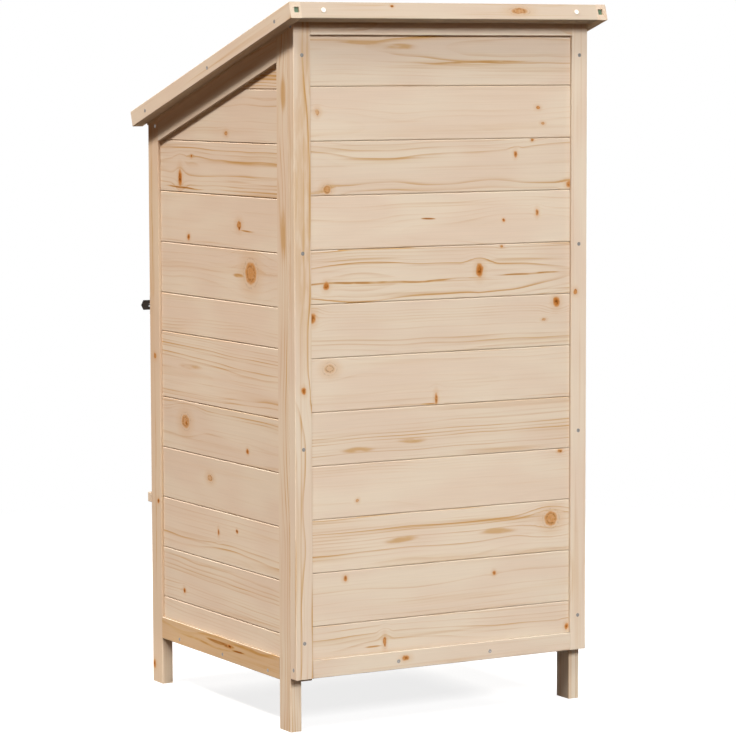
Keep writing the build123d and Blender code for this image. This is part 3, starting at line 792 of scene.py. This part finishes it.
timber(["back_boards"], "X", "Z", back_seams, BOARD_COVER)
timber(["door_boards"], "X", "Z", door_seams, BOARD_COVER)
timber(["side_boards_right"], "Y", "Z", side_seams, BOARD_COVER)
timber(["side_boards_left"], "Y", "Z", side_seams, BOARD_COVER)
timber(["floor_boards"], "X", "Y", floor_seams, BOARD_COVER)
timber(["roof_boards"], "X", "Y", roof_seams, roof_cover)
timber(pair("leg_front") + pair("leg_rear"), "Z", "Y")
timber(["back_stile_left", "door_stile_hinge", "door_stile_latch", "turn_button"], "Z", "X")
timber(["back_stile_right"], "Z", "X")
timber(["back_top_rail", "back_bottom_rail", "door_top_rail", "door_bottom_rail"], "X", "Z")
timber(["front_top_rail", "front_bottom_rail", "high_fascia"], "X", "Z")
timber(["side_bottom_rail_right", "side_bottom_rail_left"] + pair("floor_bearer"), "Y", "Z")
timber(pair("side_fascia") + pair("side_top_rail") + pair("rafter"), "Y", "Z", slope=ROOF_SLOPE)

steel_nodes = [name for name in nodes if name.startswith(("hinge", "hasp")) and "screws" not in name]
screw_nodes = [name for name in nodes if "screw" in name]
dress(painted_steel("black_steel"), steel_nodes)
zinc_finish = zinc("zinc_screws")
dress(zinc_finish, screw_nodes)
dress(felt("roofing_felt"), ["roof_felt"])
dress(plastic("green_plugs", srgb(72, 98, 74), srgb(104, 132, 104)), ["fascia_end_plugs"])
dress(plastic("white_caps", srgb(238, 234, 226), srgb(246, 243, 238)), ["fascia_caps"])

# Screws with a cross recess, in place of the plain ones

HEAD_RADIUS = 0.0031
HEAD_RIM = 0.0004
HEAD_DEPTH = 0.0012
SHANK_RADIUS = 0.00165
TIP_LENGTH = 0.004
RECESS_REACH = 0.0019
RECESS_HALF = 0.00055
RECESS_DEPTH = 0.0009
RECESS_TAPER = 0.6
SCREW_SPACING = 0.012  # corners nearer than this, seen along the screw, belong to one screw
SCREW_TURN = 2.4  # each cross is turned this much further than the one before, in radians

SCREWS = (
    ("back_panel_screws", "cabinet", "back"),
    ("stile_edge_screws", "cabinet", "sides"),
    ("side_rail_screws", "cabinet", "sides"),
    ("leg_top_screws", "cabinet", "sides"),
    ("fascia_screws", "cabinet", "sides"),
    ("hinge_leg_screws", "cabinet", "front"),
    ("staple_screws", "cabinet", "front"),
    ("hinge_door_screws", "door", "front"),
    ("hasp_screws", "door", "front"),
)

# The two screws in the back panel's bottom rail have no holes, so their heads stand a hair proud
RAIL_SCREW_X = 0.0885
RAIL_SCREW_RISE = 0.0132
RAIL_SCREW_PROUD = 0.0004
RAIL_SCREW_LENGTH = 0.018
SHALLOW_RECESS = 0.00035

UP = Vector((0, 0, 1))
BACK = Vector((0, 1, 0))
SIDE = Vector((1, 0, 0))


def cross_outline():
    """The recess seen from outside, as angles and radii."""
    corner = math.atan2(RECESS_HALF, RECESS_REACH)
    outline = []
    for quarter in range(4):
        for angle in (0, corner, math.radians(30), math.pi / 4, math.radians(60), math.pi / 2 - corner):
            near = min(angle, math.pi / 2 - angle)
            if near <= corner:
                radius = RECESS_REACH / math.cos(near)
            else:
                radius = RECESS_HALF / math.sin(near)
            outline.append((angle + quarter * math.pi / 2, radius))
    return outline


def way_out(corner, facing):
    """The way that a screw's head faces; those in the sides face away from the shed's middle."""
    if facing == "sides":
        return SIDE * math.copysign(1, corner.x)
    return BACK if facing == "back" else -BACK


def screw_corners(name, facing):
    """The corners of the plain screws, one group for each screw, with the way out."""
    groups = []
    for vertex in nodes[name].data.vertices:
        corner = vertex.co.copy()
        out = way_out(corner, facing)
        flat = corner - out * corner.dot(out)
        for first, way, members in groups:
            if way == out and (first - flat).length < SCREW_SPACING:
                members.append(corner)
                break
        else:
            groups.append((flat, out, [corner]))
    return [(out, members) for _, out, members in groups]


def screw_places(name, facing):
    """The middle of each head, the way out and the length."""
    found = []
    for out, members in screw_corners(name, facing):
        reach = [corner.dot(out) for corner in members]
        flats = [corner - out * corner.dot(out) for corner in members]
        middle = Vector([(min(part) + max(part)) / 2 for part in zip(*flats)])
        found.append((middle + out * max(reach), out, max(reach) - min(reach)))
    return found


def rail_screw_places():
    low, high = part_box("back_bottom_rail")
    found = []
    for x in (RAIL_SCREW_X, -RAIL_SCREW_X):
        place = Vector((x, high.y + RAIL_SCREW_PROUD, low.z + RAIL_SCREW_RISE))
        found.append((place, BACK, RAIL_SCREW_LENGTH))
    return found


def screw_rings(outline, length, recess_depth):
    """Rings from the recess out over the head and down to the tip, as radii and a depth below the head."""
    recess = [radius for _, radius in outline]
    floor = [radius * RECESS_TAPER for radius in recess]
    head = [HEAD_RADIUS] * len(outline)
    shank = [SHANK_RADIUS] * len(outline)
    return (
        (floor, recess_depth),
        (recess, 0),
        (head, 0),
        (head, HEAD_RIM),
        (shank, HEAD_DEPTH),
        (shank, length - TIP_LENGTH),
    )


def add_screw(vertices, faces, place, out, length, turn, recess_depth):
    """One screw, closed by a point in the middle of its recess and one at its tip."""
    outline = cross_outline()
    count = len(outline)
    along = UP.cross(out)
    rings = screw_rings(outline, length, recess_depth)
    start = len(vertices)
    for radii, depth in rings:
        for (angle, _), radius in zip(outline, radii):
            spoke = along * math.cos(angle + turn) + UP * math.sin(angle + turn)
            vertices.append(place + spoke * radius - out * depth)
    bottom = len(vertices)
    tip = bottom + 1
    vertices.append(place - out * recess_depth)
    vertices.append(place - out * length)
    last = start + (len(rings) - 1) * count
    for step in range(count):
        after = (step + 1) % count
        faces.append((bottom, start + step, start + after))
        faces.append((tip, last + after, last + step))
        for ring in range(len(rings) - 1):
            low = start + ring * count
            high = low + count
            faces.append((low + step, high + step, high + after, low + after))


def screw_piece(name, body, places, recess_depth):
    """One piece of several screws, each given as the middle of its head, the way out and its length."""
    vertices = []
    faces = []
    for number, (place, out, length) in enumerate(places):
        add_screw(vertices, faces, place, out, length, number * SCREW_TURN, recess_depth)
    mesh = bpy.data.meshes.new(name)
    mesh.from_pydata(vertices, [], faces)
    mesh.materials.append(zinc_finish)
    piece = bpy.data.objects.new(name, mesh)
    bpy.context.scene.collection.objects.link(piece)
    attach(piece, body)
    return piece


for name, body, facing in SCREWS:
    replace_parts(screw_piece(name + "_cross", body, screw_places(name, facing), RECESS_DEPTH), name)

screw_piece("back_rail_screws_cross", "cabinet", rail_screw_places(), SHALLOW_RECESS)

# Floor and light

FLOOR_REACH = 40.0
FLOOR_DROP = 0.0003
FLOOR_DARK = (0.3, 0.3, 0.3, 1.0)
FLOOR_LIGHT = (0.34, 0.34, 0.34, 1.0)
FLOOR_CELLS = 3.0
SHADOW_REACH = (1.2, 2.4)  # inside the first radius the floor shows shadows, past the second it is white
SHADOW_GLOW = 0.82
BOUNCE_REACH = (0.5, 1.0)  # how far out the floor throws light back on the shed
NEAR_BOUNCE = (0.1, 0.1, 0.1, 1.0)
FAR_BOUNCE = (0.045, 0.03, 0.02, 1.0)
WORLD_LIGHT = 0.035
WORLD_COLOUR = (1.0, 0.5, 0.25, 1.0)
SHED_MIDDLE = Vector((0, 0, 0.6))
LAMP_DISTANCE = 18.0
SPOT_DISTANCE = 6.0
SPOT_RADIUS = 0.056  # of the lit patch
SPOT_HEIGHT = 0.035
SPOT_SIZE = 0.025
SPOT_BLEND = 0.5


def camera_sees(graph):
    """1 for a ray straight from the camera or in a reflection, 0 for a ray that lights the shed."""
    path = graph.add("ShaderNodeLightPath").outputs
    reflected = graph.math("MAXIMUM", path["Is Glossy Ray"], path["Is Transmission Ray"])
    return graph.math("MAXIMUM", path["Is Camera Ray"], reflected)


def floor_finish(name):
    """Pale where the camera looks, white far out, and darker for the light that it throws back."""
    shader = Shader(name)
    place = shader.object_place()
    distance = shader.length(place)
    far = shader.smooth(distance, *SHADOW_REACH)
    seen = camera_sees(shader)
    speck = shader.noise(place, FLOOR_CELLS)
    pale = shader.mix(far, shader.ramp(speck, ((0.0, FLOOR_DARK), (1.0, FLOOR_LIGHT))), BLACK)
    bounce = shader.mix(shader.smooth(distance, *BOUNCE_REACH), NEAR_BOUNCE, FAR_BOUNCE)
    glow = shader.smooth(far, 0.0, 1.0, SHADOW_GLOW, 1.0)
    shader.set("Base Color", shader.mix(seen, bounce, pale))
    shader.set("Roughness", 1.0)
    shader.set("Specular IOR Level", 0.0)
    shader.set("Emission Color", WHITE)
    shader.set("Emission Strength", shader.math("MULTIPLY", seen, glow))
    return shader.material


def lay_floor():
    mesh = bpy.data.meshes.new("floor")
    square = ((-1, -1), (1, -1), (1, 1), (-1, 1))
    corners = [(x * FLOOR_REACH, y * FLOOR_REACH, -FLOOR_DROP) for x, y in square]
    mesh.from_pydata(corners, [], [(0, 1, 2, 3)])
    mesh.materials.append(floor_finish("pale_floor"))
    floor = bpy.data.objects.new("floor", mesh)
    bpy.context.scene.collection.objects.link(floor)


def light_world():
    """White to the camera, faint and warm to the shed."""
    world = bpy.data.worlds.new("studio")
    world.use_nodes = True
    bpy.context.scene.world = world
    graph = Graph(world.node_tree)
    seen = camera_sees(graph)
    sky = world.node_tree.nodes["Background"]
    graph.put(sky.inputs["Strength"], graph.smooth(seen, 0.0, 1.0, WORLD_LIGHT, 1.0))
    graph.put(sky.inputs["Color"], graph.mix(seen, WORLD_COLOUR, WHITE))


def hang(lamp, target, turn, lift, distance):
    """Hangs a lamp that looks at a target; turn is from +Y towards +X, lift is up from the floor."""
    turn = math.radians(turn)
    lift = math.radians(lift)
    towards = Vector((math.sin(turn) * math.cos(lift), math.cos(turn) * math.cos(lift), math.sin(lift)))
    holder = bpy.data.objects.new(lamp.name, lamp)
    holder.rotation_mode = "QUATERNION"
    holder.location = target + towards * distance
    holder.rotation_quaternion = towards.to_track_quat("Z", "Y")
    bpy.context.scene.collection.objects.link(holder)


def softbox(name, turn, lift, spread, strength, colour):
    """A far square lamp; spread is how wide it looks from the shed, strength is in W/m2."""
    lamp = bpy.data.lights.new(name, "AREA")
    lamp.size = 2 * LAMP_DISTANCE * math.tan(math.radians(spread / 2))
    lamp.energy = strength * math.pi * LAMP_DISTANCE**2
    lamp.color = colour
    hang(lamp, SHED_MIDDLE, turn, lift, LAMP_DISTANCE)


def spotlight(name, leg, turn, lift, strength):
    """A narrow lamp on the foot of a leg, which the other lamps leave in the shade of the rail."""
    low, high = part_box(leg)
    lamp = bpy.data.lights.new(name, "SPOT")
    lamp.spot_size = 2 * math.atan(SPOT_RADIUS / SPOT_DISTANCE)
    lamp.spot_blend = SPOT_BLEND
    lamp.shadow_soft_size = SPOT_SIZE
    lamp.energy = strength * 4 * math.pi * SPOT_DISTANCE**2
    hang(lamp, Vector((high.x, high.y, low.z + SPOT_HEIGHT)), turn, lift, SPOT_DISTANCE)


lay_floor()
light_world()
softbox("key", turn=0, lift=32, spread=14, strength=2.45, colour=(1.0, 1.0, 1.0))
softbox("side", turn=92, lift=62, spread=7, strength=3.65, colour=(1.0, 0.91, 0.84))
softbox("corner", turn=45, lift=57, spread=16, strength=1.35, colour=(1.0, 0.97, 0.93))
softbox("fill", turn=45, lift=14, spread=20, strength=0.2, colour=(1.0, 0.5, 0.27))
softbox("front", turn=180, lift=30, spread=20, strength=2.5, colour=(1.0, 0.98, 0.95))
softbox("left", turn=-92, lift=34, spread=20, strength=2.5, colour=(1.0, 0.96, 0.92))
spotlight("foot", "leg_front_right", turn=15, lift=20, strength=1.1)

# Camera


def add_camera():
    lens = bpy.data.cameras.new("camera")
    lens.sensor_width = SENSOR_MM
    lens.lens = FOCAL_PIXELS / IMAGE_SIDE * SENSOR_MM
    lens.clip_end = CAMERA_REACH
    camera = bpy.data.objects.new("camera", lens)
    bpy.context.scene.collection.objects.link(camera)
    place = Matrix.Translation(Vector(CAMERA_PLACE_MM) * MM)
    turn = Matrix.Rotation(math.radians(180 - CAMERA_TURN), 4, "Z")
    tilt = Matrix.Rotation(math.radians(90 + CAMERA_TILT), 4, "X")
    roll = Matrix.Rotation(math.radians(-CAMERA_ROLL), 4, "Z")
    camera.matrix_world = place @ turn @ tilt @ roll
    bpy.context.scene.camera = camera


add_camera()
bpy.context.scene.view_settings.view_transform = "Standard"
